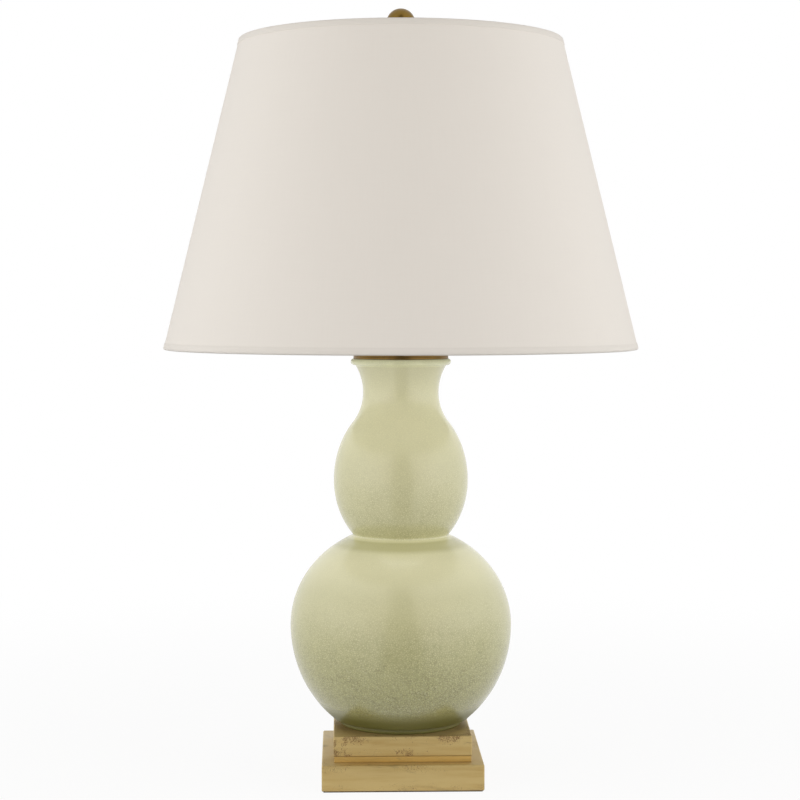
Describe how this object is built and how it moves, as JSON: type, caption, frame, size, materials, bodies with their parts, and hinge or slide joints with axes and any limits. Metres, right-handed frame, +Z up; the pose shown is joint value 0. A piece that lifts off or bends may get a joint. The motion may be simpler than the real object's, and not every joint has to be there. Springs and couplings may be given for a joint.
{
  "type": "table lamp",
  "caption": "Double gourd crackle glazed table lamp on a stepped square gilded plinth, with a tapered linen shade and a brass ball finial.",
  "frame": {"origin": "centre of the felt's underside, on the table", "axes": "+Z up along the lamp's axis, -Y towards the viewer's side with the switch key, +Y towards the cord inlet in the back"},
  "size_m": [0.4578, 0.4576, 0.7427],
  "materials": {
    "felt": "dense wool felt",
    "gilded_wood": "distressed antique gold leaf over carved hardwood",
    "celadon": "glossy celadon crackle glaze",
    "antique_brass": "antique brass, burnished satin",
    "bright_brass": "bright lacquered brass",
    "plated_steel": "brass-plated steel",
    "zinc_steel": "zinc-plated steel",
    "enamelled_wire": "white enamelled steel wire",
    "linen": "off-white linen laminated on styrene sheet",
    "liner_card": "varnished insulating card",
    "phenolic": "moulded black phenolic",
    "bulb_aluminium": "bright rolled aluminium",
    "frosted_glass": "inside-frosted glass"
  },
  "bodies": {
    "lamp_base": {"felt_pad": "felt", "lower_plinth": "gilded_wood", "upper_plinth": "gilded_wood", "plinth_screws": "zinc_steel", "cord_bushing": "antique_brass", "lamp_pipe": "zinc_steel", "bottom_washer": "zinc_steel", "bottom_nut": "zinc_steel", "gourd_body": "celadon", "vase_cap": "antique_brass", "neck_spacer": "antique_brass", "harp_saddle": "plated_steel", "saddle_nut": "zinc_steel", "socket_cap": "bright_brass", "socket_shell": "bright_brass", "socket_liner": "liner_card", "socket_core": "phenolic", "terminal_screws": "bright_brass", "screw_shell": "bright_brass", "contact_spring": "bright_brass"},
    "key": {"switch_key": "phenolic"},
    "bulb_carrier": {"bulb_tip": "bright_brass", "bulb_insulator": "phenolic"},
    "bulb": {"bulb_cap": "bulb_aluminium", "bulb_glass": "frosted_glass"},
    "harp": {"harp": "plated_steel"},
    "left_sleeve": {"sleeve_left": "plated_steel"},
    "right_sleeve": {"sleeve_right": "plated_steel"},
    "swivel": {"harp_stud": "plated_steel"},
    "shade": {"shade_cover": "linen", "shade_top_ring": "enamelled_wire", "shade_bottom_ring": "enamelled_wire", "spider_arms": "plated_steel", "spider_washer": "plated_steel"},
    "finial_carrier": {"finial_insert": "bright_brass"},
    "finial": {"finial_ball": "antique_brass"}
  },
  "joints": [
    {"name": "key_turn", "type": "hinge", "parent": "lamp_base", "child": "key", "pos_m": [0, -0.02, 0.4686], "axis": [0, 1, 0], "continuous": true},
    {"name": "bulb_rise", "type": "slide", "parent": "lamp_base", "child": "bulb_carrier", "axis": [0, 0, 1], "range_m": [0, 0.022]},
    {"name": "bulb_turn", "type": "hinge", "parent": "bulb_carrier", "child": "bulb", "pos_m": [0, 0, 0.5], "axis": [0, 0, 1], "range_deg": [0, 2160]},
    {"name": "harp_lift", "type": "slide", "parent": "lamp_base", "child": "harp", "axis": [0, 0, 1], "range_m": [0, 0.06]},
    {"name": "left_sleeve_slide", "type": "slide", "parent": "harp", "child": "left_sleeve", "axis": [0, 0, 1], "range_m": [0, 0.014]},
    {"name": "right_sleeve_slide", "type": "slide", "parent": "harp", "child": "right_sleeve", "axis": [0, 0, 1], "range_m": [0, 0.014]},
    {"name": "shade_swivel", "type": "hinge", "parent": "harp", "child": "swivel", "pos_m": [0, 0, 0.7], "axis": [0, 0, 1], "continuous": true},
    {"name": "shade_lift", "type": "slide", "parent": "swivel", "child": "shade", "axis": [0, 0, 1], "range_m": [0, 0.32]},
    {"name": "finial_rise", "type": "slide", "parent": "shade", "child": "finial_carrier", "axis": [0, 0, 1], "range_m": [0, 0.006]},
    {"name": "finial_turn", "type": "hinge", "parent": "finial_carrier", "child": "finial", "pos_m": [0, 0, 0.72], "axis": [0, 0, 1], "range_deg": [0, 2160]}
  ],
  "couplings": [
    {"joint": "bulb_rise", "follows": "bulb_turn", "m_per_rad": 0.0005775},
    {"joint": "finial_rise", "follows": "finial_turn", "m_per_rad": 0.00014972}
  ]
}
